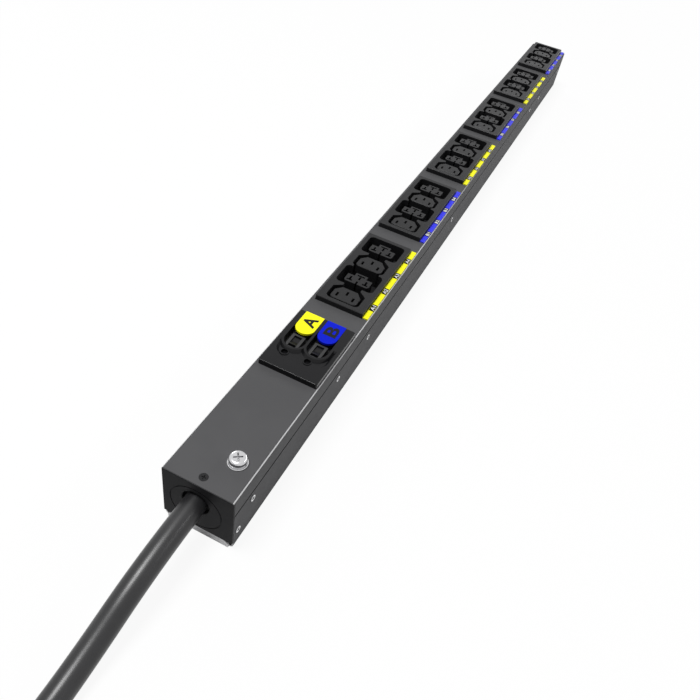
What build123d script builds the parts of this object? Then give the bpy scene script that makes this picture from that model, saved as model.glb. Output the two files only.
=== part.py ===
"""Vertical rack power distribution unit, lying on its back as in the photograph.

Frame: X across the front, Y along the chassis with the cable end at -Y, Z out of the outlet face.
The origin is the middle of the flat back. Lengths are in millimetres.
"""

import math
import os

from build123d import *

os.makedirs("parts", exist_ok=True)

# Chassis
width = 52.0
depth = 53.0
sheet = 1.2
cover_drop = 16.0
cover_bend = 1.6
back_bend = 3.0
seam_gap = 0.5
lip_fit = 0.15
lip_overlap = 9.0
end_lip_height = 6.0
end_lip_bevel = 3.0
side_reveal = 1.5

# End caps
cap_plate = 3.0
cap_plug_depth = 10.0
cap_wall = 2.0
cap_fit = 0.15
far_cap_plate = 2.0
ring_radius = 19.0
ring_groove = 0.8
ring_drop = 5.5
cap_face_drop = 0.3
cap_lip_clearance = 0.1
cap_boss_width = 9.0
cap_boss_height = 7.0
top_plug_clearance = 1.0
cord_hole_radius = 10.0
cord_hole_x = -1.5
cord_hole_z = 32.5

# Cord
cord_diameter = 16.0
gland_length = 22.0
gland_radius = 13.0
gland_fit = 0.05
gland_nut_length = 7.0
gland_nut_wall = 3.0
tail_length = 34.0
core_diameter = 4.2
core_pitch = 5.2
high_core_share = 0.65
low_core_share = 0.29

# Screws and rivets
cap_screw_from_end = 6.7
cap_screw_head_radius = 3.1
cap_screw_shank_radius = 1.5
cap_screw_length = 6.0
cap_screw_sink = 0.15
cap_screw_clearance = 0.15
cap_thread_fit = 0.02
head_clearance = 0.1
small_recess = (3.2, 0.7, 0.8)
earth_x = 11.8
earth_from_end = 26.6
earth_washer_radius = 6.8
earth_washer_thickness = 1.2
earth_spring_radius = 5.7
earth_spring_thickness = 1.5
earth_spring_split = 0.5
washer_fit = 0.1
washer_rim = 0.3
earth_hole_clearance = 0.2
earth_head_radius = 6.0
earth_head_height = 3.4
earth_head_dome = 2.0
earth_recess = (6.4, 1.1, 2.0)
earth_recess_turn = 35
earth_recess_taper = 12
earth_shank_radius = 3.0
earth_shank_length = 14.0
earth_nut_flats = 10.0
earth_nut_height = 5.0
rivet_radius = 2.4
rivet_shank_radius = 1.6
rivet_bore_radius = 1.1
rivet_head = 0.6
rivet_tail = 3.0
rivet_height = 29.7
rivet_from_end = (23.0, 147.8, 204.2, 419.2)
rivet_from_top = (195.3, 142.5, 18.5)
cap_rivet_from_end = 6.1
cap_rivet_height = 16.5

# Breaker module
bezel_near = 108.2
bezel_length = 65.3
bezel_left_margin = 3.0
bezel_right_margin = 1.2
bezel_height = 4.6
bezel_corner = 1.5
bezel_edge = 0.6
bezel_skirt_width = 42.0
bezel_skirt_margin = 4.0
skirt_below_cover = 0.8
pocket_radius = 8.5
pocket_centre_from_end = 140.3
pocket_square_end = 158.0
pocket_x = (-10.0, 8.9)
tab_width = 15.8
tab_near = 149.0
tab_thickness = 1.6
tab_fit = 0.1
tab_proud = 0.15
scoop_near = 119.6
scoop_far = 146.0
scoop_left = -19.6
scoop_right = 22.0
scoop_corner = 13.0
scoop_depth = 2.2
scoop_slope = 42.0
collar_width = 1.9
collar_bevel = 1.4
peg_hole_radius = 2.6
peg_hole_from_pocket = 13.6
peg_hole_offset = -1.4
peg_collar_width = 0.8
peg_collar_height = 0.5
peg_hole_depth = 2.6

# Breakers
breaker_width = 18.0
breaker_length = 56.0
breaker_height = 34.0
breaker_from_end = 117.0
nose_width = 10.6
nose_length = 15.4
nose_drop = 1.6
nose_end_flat = 0.3
slot_width = 6.2
slot_length = 12.2
rocker_width = 5.6
rocker_length = 9.8
rocker_height = 6.4
rocker_tilt = 11.0
rocker_pivot_drop = 3.4
rocker_shift = -0.4
rocker_pin_radius = 1.0
pin_clearance = 0.05
pin_seat = 1.2
breaker_well = 11.0
terminal_size = (6.3, 0.8, 9.0)
terminal_inset = 6.0

# Outlet modules
module_count = 6
module_near = 195.8
module_gap = 21.6
module_top_margin = 4.2
module_length = 107.0
module_left_margin = 4.1
module_right_margin = 5.6
module_height = 4.9
module_corner = 1.2
module_edge = 0.5
module_skin = 2.0
module_flange = 1.4
module_flange_thickness = 1.4
cutout_fit = 0.15
outlet_depth = 16.0
small_outlet_from_near = 13.9
large_outlet_from_far = 17.1
pair_stagger = 0.4

small_cavity = (29.0, 20.4)
small_cavity_bevel = (6.5, 5.2)
small_cavity_corner = 4.0
small_core_size = (23.4, 16.4)
small_core_bevel = (4.8, 5.8)
small_core_corner = 3.0
small_core_edge = 0.4
large_core_corner = 2.4
large_cavity = (34.0, 25.2)
large_cavity_corner = 4.0
small_neck_width = 16.0
large_neck_width = 24.0
neck_overlap = 3.0
well_gap = 2.0

core_drop = 0.5
slot_depth = 13.0
small_slot = (1.9, 5.0)
slot_spread = 7.1
outer_slot_y = -2.7
middle_slot_y = 2.1
large_lobes = (22.4, 10.0, -3.0)
large_middle = (10.8, 4.6, 4.0)
large_bar = (5.0, 1.6)
large_outer_bar_y = -5.1
large_stem = (1.7, 4.4)
large_outer_stem_y = -2.4
large_middle_stem_y = 0.6
large_middle_bar = (6.8, 1.6)
large_middle_bar_y = 3.8
notch_size = (1.6, 4.0)

# Label strips
strip_width = 4.3
strip_thickness = 1.2
strip_gap = 0.25
strip_start = 0.6
strip_overrun = 1.6
bar_ends = ((0.0, 11.0), (20.0, 36.6), (45.2, 62.0), (70.6, 87.4), (96.2, 108.6))
field_drop = 0.5
strip_edge = 0.3

# Contacts and wiring inside the chassis
contact_size = (1.5, 3.4, 6.0)
contact_leaf = 0.3
busbar_width = 3.0
busbar_thickness = 1.0
busbar_overhang = 8.0
busbar_far_margin = 4.0
rear_cover_thickness = 1.6
rear_cover_drop = 5.0
tray_margin = 0.5
tray_end_margin = 1.0
lead_bend = 12.0
line_lead_straight = 24.0
line_lead_drop = 24.0
lane_lead_straight = 20.0
lane_lead_drop = 28.0
lane_rise = 2.7
bar_clearance = 1.05

# Back fixing
insert_radius = 4.0
insert_height = 3.8
insert_pilot_radius = 3.0
insert_thread_radius = 1.65
insert_spacing_x = 25.0
insert_from_end = 45.0

# Put-away cord: a flat hank in line with the chassis
hank_x = -45.0
hank_near = -720.0
hank_run = 262.0
hank_middle_radius = 56.0
hank_height = 30.0
hank_rim = 4.0
tie_width = 12.0
tie_thickness = 1.0
plug_radius = 31.0
plug_body_length = 70.0
plug_shroud_length = 44.0
plug_shroud_radius = 29.0
plug_nut_length = 18.0
plug_nut_radius = 15.0
plug_nut_wall = 1.5
plug_shroud_wall = 2.5
plug_shroud_foot = 4.0
plug_grip_radius = 24.5
plug_grip_flutes = 12
plug_nut_flutes = 14
plug_key_width = 6.0
plug_key_height = 1.8
plug_pin_radius = 3.0
plug_pin_circle = 13.0
plug_pin_length = 36.0

# Places worked out from the sizes above
module_pitch = module_length + module_gap
length = module_near + module_count * module_pitch - module_gap + module_top_margin
module_width = width - module_left_margin - module_right_margin
module_x = (module_left_margin - module_right_margin) / 2
strip_length = module_length + strip_overrun
outlet_step = (module_length - small_outlet_from_near - large_outlet_from_far - pair_stagger) / 1.5
large_outlet_from_near = small_outlet_from_near + outlet_step / 2 + pair_stagger
bezel_width = width - bezel_left_margin - bezel_right_margin
bezel_x = (bezel_left_margin - bezel_right_margin) / 2
insert_spacing_y = length - 2 * insert_from_end
cable_end = -length / 2
top_end = length / 2
front = depth
inside_front = depth - sheet
cord_radius = cord_diameter / 2
cover_far = top_end - far_cap_plate
cover_low = depth - cover_drop
channel_high = cover_low - seam_gap
lip_outside = width / 2 - sheet - lip_fit
bezel_top = front + bezel_height
pocket_floor = inside_front - skirt_below_cover
rocker_y = cable_end + pocket_centre_from_end + rocker_shift
nose_top = bezel_top - nose_drop
rocker_pivot_z = nose_top - rocker_pivot_drop
module_top = front + module_height
outlet_floor = module_top - outlet_depth
module_bottom = outlet_floor - module_skin


rivet_places = [(cable_end + y, rivet_height) for y in rivet_from_end]
rivet_places += [(top_end - y, rivet_height) for y in rivet_from_top]
rivet_places.append((cable_end + cap_rivet_from_end, cap_rivet_height))


def across(y):
    """The plane of a cross-section at y, seen from the cable end; extrusions run towards that end."""
    return Plane.XZ.offset(-y)


def save(item, name):
    """Label a finished piece and write its file."""
    item.label = name
    export_step(item, f"parts/{name}.step")


def group(solids, name):
    """Write several equal pieces as one node."""
    save(Compound(label=name, children=list(solids)), name)


def from_cable_end(distance):
    return cable_end + distance


# Front cover: a folded sheet with an opening for the breakers and for each outlet module
with BuildPart() as front_cover:
    with BuildSketch(across(cover_far)):
        with BuildLine():
            FilletPolyline(
                (-width / 2 + sheet / 2, cover_low),
                (-width / 2 + sheet / 2, front - sheet / 2),
                (width / 2 - sheet / 2, front - sheet / 2),
                (width / 2 - sheet / 2, cover_low),
                radius=cover_bend - sheet / 2,
            )
        trace(line_width=sheet)
    extrude(amount=cover_far - cable_end)
    with BuildSketch(Plane.XY.offset(cover_low - 1)):
        for side in (-1, 1):
            with Locations((side * width / 2, cable_end + side_reveal / 2)):
                Rectangle(2 * sheet + 0.2, side_reveal)
    extrude(amount=cover_drop - cover_bend + 1, mode=Mode.SUBTRACT)
    with BuildSketch(Plane.XY.offset(inside_front - 1)):
        with Locations((bezel_x, from_cable_end(bezel_near + bezel_length / 2))):
            Rectangle(
                bezel_skirt_width + 2 * cutout_fit, bezel_length - 2 * bezel_skirt_margin + 2 * cutout_fit
            )
        for number in range(module_count):
            near = from_cable_end(module_near + number * module_pitch)
            with Locations((module_x, near + module_length / 2)):
                Rectangle(module_width + 2 * cutout_fit, module_length + 2 * cutout_fit)
    extrude(amount=sheet + 2, mode=Mode.SUBTRACT)
    with Locations(Plane.XY.offset(front)):
        with Locations((0, from_cable_end(cap_screw_from_end))):
            CounterSinkHole(
                cap_screw_shank_radius + cap_screw_clearance,
                cap_screw_head_radius + head_clearance,
                depth=2 * sheet,
            )
        with Locations((earth_x, from_cable_end(earth_from_end))):
            Hole(earth_shank_radius + earth_hole_clearance, depth=2 * sheet)
save(front_cover.part, "front_cover")

# Rear channel: a deep folded sheet whose joggled edges tuck inside the cover
with BuildPart() as rear_channel:
    with BuildSketch(across(cover_far)):
        with BuildLine():
            FilletPolyline(
                (-width / 2 + sheet / 2, channel_high),
                (-width / 2 + sheet / 2, sheet / 2),
                (width / 2 - sheet / 2, sheet / 2),
                (width / 2 - sheet / 2, channel_high),
                radius=back_bend - sheet / 2,
            )
        trace(line_width=sheet)
        for side in (-1, 1):
            with Locations((side * (lip_outside - sheet / 2), channel_high + lip_overlap / 2 - sheet)):
                Rectangle(sheet, lip_overlap + 2 * sheet)
            with Locations((side * (width / 2 - sheet), channel_high - sheet)):
                Rectangle(2 * sheet + lip_fit, 2 * sheet)
    extrude(amount=cover_far - cable_end - side_reveal)
    with BuildSketch(across(cable_end + side_reveal)):
        with Locations((0, end_lip_height / 2)):
            Rectangle(width - 2 * back_bend, end_lip_height)
        chamfer(vertices().group_by(Axis.Y)[-1], length=end_lip_bevel)
    extrude(amount=side_reveal)
    with Locations(Plane.XY):
        with GridLocations(insert_spacing_x, insert_spacing_y, 2, 2):
            Cylinder(insert_pilot_radius, 4 * sheet, mode=Mode.SUBTRACT)
    with BuildSketch(Plane.YZ):
        for place in rivet_places:
            with Locations(place):
                Circle(rivet_shank_radius)
    extrude(amount=width, both=True, mode=Mode.SUBTRACT)
save(rear_channel.part, "rear_channel")


def rivet(side, place):
    """One hollow rivet: a ring head outside the channel and a bored shank through its wall."""
    with BuildPart() as piece:
        with BuildSketch(Plane.YZ.offset(side * width / 2)):
            with Locations(place):
                Circle(rivet_radius)
        extrude(amount=side * rivet_head)
        with BuildSketch(Plane.YZ.offset(side * width / 2)):
            with Locations(place):
                Circle(rivet_shank_radius)
        extrude(amount=-side * rivet_tail)
        with BuildSketch(Plane.YZ.offset(side * (width / 2 + rivet_head))):
            with Locations(place):
                Circle(rivet_bore_radius)
        extrude(amount=-side * (rivet_tail + rivet_head), mode=Mode.SUBTRACT)
    return piece.part


group([rivet(side, place) for side in (-1, 1) for place in rivet_places], "side_rivets")

# Cable end cap: a moulded cup with a boss for the cord gland and one for the cap screw
plug_half = lip_outside - sheet - cap_fit
cap_high = inside_front - cap_fit
cap_face_low = end_lip_height + cap_lip_clearance
cap_face_high = cap_high - cap_face_drop
with BuildPart() as cable_end_cap:
    with BuildSketch(across(cable_end + side_reveal)):
        with Locations((0, (cap_face_low + cap_face_high) / 2)):
            Rectangle(width, cap_face_high - cap_face_low)
    extrude(amount=side_reveal)
    with BuildSketch(across(cable_end + cap_plug_depth)):
        with Locations((0, (end_lip_height + cap_high) / 2)):
            Rectangle(2 * plug_half, cap_high - end_lip_height)
    extrude(amount=cap_plug_depth - side_reveal)
    with BuildSketch(across(cable_end + cap_plug_depth)):
        with Locations((0, (end_lip_height + cap_high) / 2)):
            Rectangle(2 * (plug_half - cap_wall), cap_high - end_lip_height - 2 * cap_wall)
    extrude(amount=cap_plug_depth - cap_plate, mode=Mode.SUBTRACT)
    with BuildSketch(across(cable_end + cap_plug_depth)):
        with Locations((cord_hole_x, cord_hole_z)):
            Circle(gland_radius + cap_wall)
        with Locations((0, cap_high - cap_boss_height / 2)):
            Rectangle(cap_boss_width, cap_boss_height)
    extrude(amount=cap_plug_depth - cap_plate)
    with BuildSketch(across(cable_end + cap_plug_depth)):
        with Locations((cord_hole_x, cord_hole_z)):
            Circle(gland_radius + gland_fit)
    extrude(amount=cap_plug_depth - cap_plate, mode=Mode.SUBTRACT)
    with BuildSketch(across(cable_end + cap_plate)):
        with Locations((cord_hole_x, cord_hole_z)):
            Circle(cord_hole_radius)
    extrude(amount=cap_plate, mode=Mode.SUBTRACT)
    chamfer(
        cable_end_cap.edges().filter_by(GeomType.CIRCLE).sort_by(Axis.Y)[0],
        length=ring_groove / 2,
    )
    with BuildSketch(across(cable_end + ring_groove / 2)):
        with Locations((cord_hole_x, cord_hole_z - ring_drop)):
            Circle(ring_radius + ring_groove / 2)
            Circle(ring_radius - ring_groove / 2, mode=Mode.SUBTRACT)
    extrude(amount=ring_groove / 2, mode=Mode.SUBTRACT)
    with Locations(Plane.XY.offset(cap_high)):
        with Locations((0, from_cable_end(cap_screw_from_end))):
            Hole(cap_screw_shank_radius + cap_thread_fit, depth=cap_screw_length - sheet - cap_fit)
    with BuildSketch(Plane.YZ):
        with Locations((from_cable_end(cap_rivet_from_end), cap_rivet_height)):
            Circle(rivet_shank_radius)
    extrude(amount=width, both=True, mode=Mode.SUBTRACT)
save(cable_end_cap.part, "cable_end_cap")

# Cord gland, its nut and the end of the cord inside it
gland_face = cable_end + cap_plate
with BuildPart() as cord_gland:
    with BuildSketch(across(gland_face + gland_length)):
        with Locations((cord_hole_x, cord_hole_z)):
            Circle(gland_radius)
            Circle(cord_radius, mode=Mode.SUBTRACT)
    extrude(amount=gland_length)
save(cord_gland.part, "cord_gland")

with BuildPart() as gland_nut:
    with BuildSketch(across(cable_end + cap_plug_depth + gland_nut_length)):
        with Locations((cord_hole_x, cord_hole_z)):
            RegularPolygon(gland_radius + gland_nut_wall, 6, major_radius=False)
            Circle(gland_radius + gland_fit, mode=Mode.SUBTRACT)
    extrude(amount=gland_nut_length)
save(gland_nut.part, "gland_nut")

with BuildPart() as cord_tail:
    with BuildSketch(across(gland_face + tail_length)):
        with Locations((cord_hole_x, cord_hole_z)):
            Circle(cord_radius)
    extrude(amount=tail_length)
save(cord_tail.part, "cord_tail")

# Countersunk cap screw
with BuildPart() as cap_screw:
    with BuildSketch(Plane.XZ.offset(-from_cable_end(cap_screw_from_end))):
        with BuildLine():
            Polyline(
                (0, front - cap_screw_sink),
                (cap_screw_head_radius - head_clearance, front - cap_screw_sink),
                (cap_screw_shank_radius, cap_high),
                (cap_screw_shank_radius, front - cap_screw_length),
                (0, front - cap_screw_length),
                close=True,
            )
        make_face()
    revolve(axis=Axis((0, from_cable_end(cap_screw_from_end), 0), (0, 0, 1)))
    with BuildSketch(Plane.XY.offset(front - cap_screw_sink)):
        with Locations((0, from_cable_end(cap_screw_from_end))):
            Rectangle(small_recess[0], small_recess[1])
            Rectangle(small_recess[1], small_recess[0])
    extrude(amount=-small_recess[2], mode=Mode.SUBTRACT)
save(cap_screw.part, "cap_screw")

# Earth bonding screw with its washers outside and its nut inside the cover
earth_y = from_cable_end(earth_from_end)
spring_low = front + earth_washer_thickness
head_low = spring_low + earth_spring_thickness
with BuildPart() as earth_washer:
    with BuildSketch(Plane.XY.offset(front)):
        with Locations((earth_x, earth_y)):
            Circle(earth_washer_radius)
            Circle(earth_shank_radius + washer_fit, mode=Mode.SUBTRACT)
    extrude(amount=earth_washer_thickness)
    chamfer(earth_washer.faces().sort_by(Axis.Z)[-1].outer_wire().edges(), length=washer_rim)
save(earth_washer.part, "earth_washer")

with BuildPart() as earth_lock_washer:
    with BuildSketch(Plane.XY.offset(spring_low)):
        with Locations((earth_x, earth_y)):
            Circle(earth_spring_radius)
            Circle(earth_shank_radius + washer_fit, mode=Mode.SUBTRACT)
        with Locations((earth_x + earth_spring_radius, earth_y)):
            Rectangle(earth_spring_radius, earth_spring_split, mode=Mode.SUBTRACT)
    extrude(amount=earth_spring_thickness)
save(earth_lock_washer.part, "earth_lock_washer")

with BuildPart() as earth_screw:
    with BuildSketch(Plane.XY.offset(head_low)):
        with Locations((earth_x, earth_y)):
            Circle(earth_head_radius)
    extrude(amount=earth_head_height)
    fillet(earth_screw.edges().sort_by(Axis.Z)[-1], radius=earth_head_dome)
    with BuildSketch(Plane.XY.offset(head_low)):
        with Locations((earth_x, earth_y)):
            Circle(earth_shank_radius)
    extrude(amount=-earth_shank_length)
    with BuildSketch(Plane.XY.offset(head_low + earth_head_height)):
        with Locations(Location((earth_x, earth_y), earth_recess_turn)):
            Rectangle(earth_recess[0], earth_recess[1])
            Rectangle(earth_recess[1], earth_recess[0])
    extrude(amount=-earth_recess[2], taper=earth_recess_taper, mode=Mode.SUBTRACT)
save(earth_screw.part, "earth_screw")

with BuildPart() as earth_nut:
    with BuildSketch(Plane.XY.offset(inside_front)):
        with Locations((earth_x, earth_y)):
            RegularPolygon(earth_nut_flats / 2, 6, major_radius=False)
            Circle(earth_shank_radius, mode=Mode.SUBTRACT)
    extrude(amount=-earth_nut_height)
save(earth_nut.part, "earth_nut")

# Top end cap
with BuildPart() as top_end_cap:
    with BuildSketch(across(top_end)):
        with Locations((0, depth / 2)):
            Rectangle(width, depth)
        fillet(vertices().group_by(Axis.Y)[0], radius=back_bend)
        fillet(vertices().group_by(Axis.Y)[-1], radius=cover_bend)
    extrude(amount=far_cap_plate)
    plug_top = module_bottom - rear_cover_drop - top_plug_clearance
    plug_low = sheet + cap_fit
    with BuildSketch(across(cover_far)):
        with Locations((0, (plug_low + plug_top) / 2)):
            Rectangle(2 * plug_half, plug_top - plug_low)
            Rectangle(2 * (plug_half - cap_wall), plug_top - plug_low - 2 * cap_wall, mode=Mode.SUBTRACT)
    extrude(amount=cap_plug_depth)
save(top_end_cap.part, "top_end_cap")

# Breaker bezel: two obround pockets, a tapered finger scoop with raised collars, and peg holes
bezel_y0 = from_cable_end(bezel_near)
bezel_y1 = bezel_y0 + bezel_length
pocket_y = from_cable_end(pocket_centre_from_end)
pocket_end = from_cable_end(pocket_square_end)
with BuildPart() as breaker_bezel:
    with BuildSketch(Plane.XY.offset(front)):
        with Locations((bezel_x, (bezel_y0 + bezel_y1) / 2)):
            RectangleRounded(bezel_width, bezel_length, bezel_corner)
    extrude(amount=bezel_height)
    fillet(breaker_bezel.faces().sort_by(Axis.Z)[-1].edges(), radius=bezel_edge)
    with BuildSketch(Plane.XY.offset(pocket_floor)):
        with Locations((bezel_x, (bezel_y0 + bezel_y1) / 2)):
            Rectangle(bezel_skirt_width, bezel_length - 2 * bezel_skirt_margin)
    extrude(amount=front - pocket_floor)
    with BuildSketch(Plane.XY.offset(bezel_top)):
        with Locations(
            ((scoop_left + scoop_right) / 2, from_cable_end((scoop_near + scoop_far) / 2))
        ):
            Rectangle(scoop_right - scoop_left, scoop_far - scoop_near)
        fillet(vertices().group_by(Axis.Y)[0], radius=scoop_corner)
    extrude(amount=-scoop_depth, taper=scoop_slope, mode=Mode.SUBTRACT)
    with BuildSketch(Plane.XY.offset(bezel_top)):
        for x in pocket_x:
            with Locations((x, pocket_y)):
                Circle(pocket_radius + collar_width)
            with Locations((x, (pocket_y + from_cable_end(scoop_far)) / 2)):
                Rectangle(2 * (pocket_radius + collar_width), from_cable_end(scoop_far) - pocket_y)
    extrude(amount=-scoop_depth, taper=-math.degrees(math.atan2(collar_bevel, scoop_depth)))
    with BuildSketch(Plane.XY.offset(bezel_top)):
        for x in pocket_x:
            with Locations((x, pocket_y)):
                Circle(pocket_radius)
            with Locations((x, (pocket_y + pocket_end) / 2)):
                Rectangle(2 * pocket_radius, pocket_end - pocket_y)
    extrude(amount=pocket_floor - bezel_top, mode=Mode.SUBTRACT)
    with BuildSketch(Plane.XY.offset(bezel_top)):
        for x in pocket_x:
            with Locations((x, (pocket_end + bezel_y1) / 2)):
                Rectangle(tab_width + 2 * tab_fit, bezel_y1 - pocket_end)
    extrude(amount=-tab_thickness, mode=Mode.SUBTRACT)
    with BuildSketch(Plane.XY.offset(bezel_top - scoop_depth)):
        for x in pocket_x:
            with Locations((x + peg_hole_offset, pocket_y - peg_hole_from_pocket)):
                Circle(peg_hole_radius + peg_collar_width)
    extrude(amount=peg_collar_height)
    with BuildSketch(Plane.XY.offset(bezel_top - scoop_depth + peg_collar_height)):
        for x in pocket_x:
            with Locations((x + peg_hole_offset, pocket_y - peg_hole_from_pocket)):
                Circle(peg_hole_radius)
    extrude(amount=-peg_hole_depth, mode=Mode.SUBTRACT)
save(breaker_bezel.part, "breaker_bezel")

# Breakers: a body with a raised nose in each pocket, a rocker on its pin, and a bank tab over it
breaker_bodies = []
rocker_pins = []
for bank, x in zip("ab", pocket_x):
    with BuildPart() as breaker_body:
        with BuildSketch(Plane.XY.offset(pocket_floor)):
            with Locations((x, from_cable_end(breaker_from_end) + breaker_length / 2)):
                Rectangle(breaker_width, breaker_length)
        extrude(amount=-breaker_height)
        with BuildSketch(Plane.XY.offset(pocket_floor)):
            with Locations((x, rocker_y)):
                Rectangle(nose_width, nose_length)
            fillet(vertices().group_by(Axis.Y)[0], radius=nose_width / 2 - nose_end_flat)
        extrude(amount=nose_top - pocket_floor)
        with BuildSketch(Plane.XY.offset(nose_top)):
            with Locations((x, rocker_y)):
                Rectangle(slot_width, slot_length)
        extrude(amount=-breaker_well, mode=Mode.SUBTRACT)
        with BuildSketch(Plane.YZ.offset(x)):
            with Locations((rocker_y, rocker_pivot_z)):
                Circle(rocker_pin_radius)
        extrude(amount=slot_width / 2 + pin_seat, both=True, mode=Mode.SUBTRACT)
    breaker_bodies.append(breaker_body.part)

    tilt = math.radians(rocker_tilt)
    rocker_plane = Plane(
        origin=(x, rocker_y, rocker_pivot_z),
        x_dir=(0, math.cos(tilt), -math.sin(tilt)),
        z_dir=(1, 0, 0),
    )
    half = rocker_length / 2
    with BuildPart() as breaker_rocker:
        with BuildSketch(rocker_plane):
            with BuildLine():
                Polyline(
                    (-half, -rocker_height * 0.25),
                    (-half, rocker_height * 0.5),
                    (0, rocker_height * 0.35),
                    (half, rocker_height * 0.5),
                    (half, -rocker_height * 0.25),
                    (half * 0.45, -rocker_height * 0.5),
                    (-half * 0.45, -rocker_height * 0.5),
                    close=True,
                )
            make_face()
            Circle(rocker_pin_radius + pin_clearance, mode=Mode.SUBTRACT)
        extrude(amount=rocker_width / 2, both=True)
    save(breaker_rocker.part, f"breaker_rocker_{bank}")

    with BuildPart() as rocker_pin:
        with BuildSketch(Plane.YZ.offset(x)):
            with Locations((rocker_y, rocker_pivot_z)):
                Circle(rocker_pin_radius)
        extrude(amount=slot_width / 2 + pin_seat, both=True)
    rocker_pins.append(rocker_pin.part)

    with BuildPart() as bank_tab:
        with BuildSketch(Plane.XY.offset(bezel_top - tab_thickness)):
            with Locations((x, from_cable_end(tab_near) + tab_width / 2)):
                Circle(tab_width / 2)
            with Locations((x, (from_cable_end(tab_near) + tab_width / 2 + bezel_y1) / 2)):
                Rectangle(tab_width, bezel_y1 - from_cable_end(tab_near) - tab_width / 2)
        extrude(amount=tab_thickness + tab_proud)
    save(bank_tab.part, f"bank_tab_{bank}")

group(breaker_bodies, "breaker_bodies")
group(rocker_pins, "rocker_pins")

terminal_y = (
    from_cable_end(breaker_from_end) + terminal_inset,
    from_cable_end(breaker_from_end) + breaker_length - terminal_inset,
)
breaker_low = pocket_floor - breaker_height


def blade(x, y):
    """One flat terminal blade under a breaker."""
    with BuildPart() as piece:
        with BuildSketch(Plane.XY.offset(breaker_low)):
            with Locations((x, y)):
                Rectangle(terminal_size[0], terminal_size[1])
        extrude(amount=-terminal_size[2])
    return piece.part


group([blade(x, y) for x in pocket_x for y in terminal_y], "breaker_terminals")


def beveled(size, bevel):
    """Points of a rectangle about the origin whose two far corners are cut off."""
    half_x = size[0] / 2
    half_y = size[1] / 2
    return [
        (-half_x, -half_y),
        (half_x, -half_y),
        (half_x, half_y - bevel[1]),
        (half_x - bevel[0], half_y),
        (-half_x + bevel[0], half_y),
        (-half_x, half_y - bevel[1]),
    ]


def small_outline(size, bevel, corner, centre):
    """The D-like outline of a small outlet, as a sketch."""
    with BuildSketch() as outline:
        with Locations(centre):
            Polygon(*beveled(size, bevel), align=None)
        fillet(outline.vertices().group_by(Axis.Y)[0], radius=corner)
    return outline.sketch


def outlet_housing(near):
    """A moulded module: one long box with four joined outlet wells and a flange behind the cover."""
    middle = near + module_length / 2
    with BuildPart() as housing:
        with BuildSketch(Plane.XY.offset(module_bottom)):
            with Locations((module_x, middle)):
                RectangleRounded(module_width, module_length, module_corner)
        extrude(amount=module_top - module_bottom)
        chamfer(housing.faces().sort_by(Axis.Z)[-1].edges(), length=module_edge)
        with BuildSketch(Plane.XY.offset(inside_front)):
            with Locations((module_x, middle)):
                Rectangle(module_width + 2 * module_flange, module_length + 2 * module_flange)
        extrude(amount=-module_flange_thickness)
        with BuildSketch(Plane.XY.offset(outlet_floor)):
            for step in range(2):
                small_y = near + small_outlet_from_near + step * outlet_step
                large_y = near + large_outlet_from_near + step * outlet_step
                add(
                    small_outline(
                        small_cavity, small_cavity_bevel, small_cavity_corner, (module_x, small_y)
                    )
                )
                with Locations((module_x, large_y)):
                    RectangleRounded(large_cavity[0], large_cavity[1], large_cavity_corner)
                with Locations((module_x, (small_y + large_y) / 2)):
                    Rectangle(small_neck_width, 2 * neck_overlap + well_gap)
            between = near + (large_outlet_from_near + small_outlet_from_near + outlet_step) / 2
            with Locations((module_x, between)):
                Rectangle(large_neck_width, 2 * neck_overlap + well_gap)
        extrude(amount=outlet_depth, mode=Mode.SUBTRACT)
    return housing.part


def small_core(y):
    """The insert of a small outlet, with its three slots."""
    with BuildPart() as core:
        with BuildSketch(Plane.XY.offset(outlet_floor)):
            add(small_outline(small_core_size, small_core_bevel, small_core_corner, (module_x, y)))
        extrude(amount=outlet_depth - core_drop)
        chamfer(core.faces().sort_by(Axis.Z)[-1].edges(), length=small_core_edge)
        with BuildSketch(Plane.XY.offset(module_top - core_drop)):
            with Locations(
                (module_x - slot_spread, y + outer_slot_y),
                (module_x, y + middle_slot_y),
                (module_x + slot_spread, y + outer_slot_y),
            ):
                Rectangle(*small_slot)
        extrude(amount=-slot_depth, mode=Mode.SUBTRACT)
    return core.part


def large_core(y):
    """The insert of a large outlet: two lobes and a middle block around three T-shaped slots."""
    with BuildPart() as core:
        with BuildSketch(Plane.XY.offset(outlet_floor)):
            with Locations((module_x, y + large_lobes[2])):
                Rectangle(large_lobes[0], large_lobes[1])
            with Locations((module_x, y + large_middle[2])):
                Rectangle(large_middle[0], large_middle[1])
            fillet(vertices().group_by(Axis.Y)[0], radius=large_core_corner)
            with Locations((module_x, y + large_lobes[2] - (large_lobes[1] - notch_size[1]) / 2)):
                Rectangle(*notch_size, mode=Mode.SUBTRACT)
        extrude(amount=outlet_depth - core_drop)
        with BuildSketch(Plane.XY.offset(module_top - core_drop)):
            for side in (-1, 1):
                with Locations((module_x + side * slot_spread, y + large_outer_bar_y)):
                    Rectangle(*large_bar)
                with Locations((module_x + side * slot_spread, y + large_outer_stem_y)):
                    Rectangle(*large_stem)
            with Locations((module_x, y + large_middle_stem_y)):
                Rectangle(*large_stem)
            with Locations((module_x, y + large_middle_bar_y)):
                Rectangle(*large_middle_bar)
        extrude(amount=-slot_depth, mode=Mode.SUBTRACT)
    return core.part


def contact(x, y):
    """One folded contact clip standing at the bottom of a slot."""
    foot = module_top - core_drop - slot_depth
    with BuildPart() as clip:
        with BuildSketch(Plane.XZ.offset(-(y + contact_size[1] / 2))):
            with Locations((x, foot + contact_size[2] / 2)):
                Rectangle(contact_size[0], contact_size[2])
            with Locations((x, foot + contact_size[2] / 2 + contact_leaf)):
                Rectangle(contact_size[0] - 2 * contact_leaf, contact_size[2], mode=Mode.SUBTRACT)
        extrude(amount=contact_size[1])
    return clip.part


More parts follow.
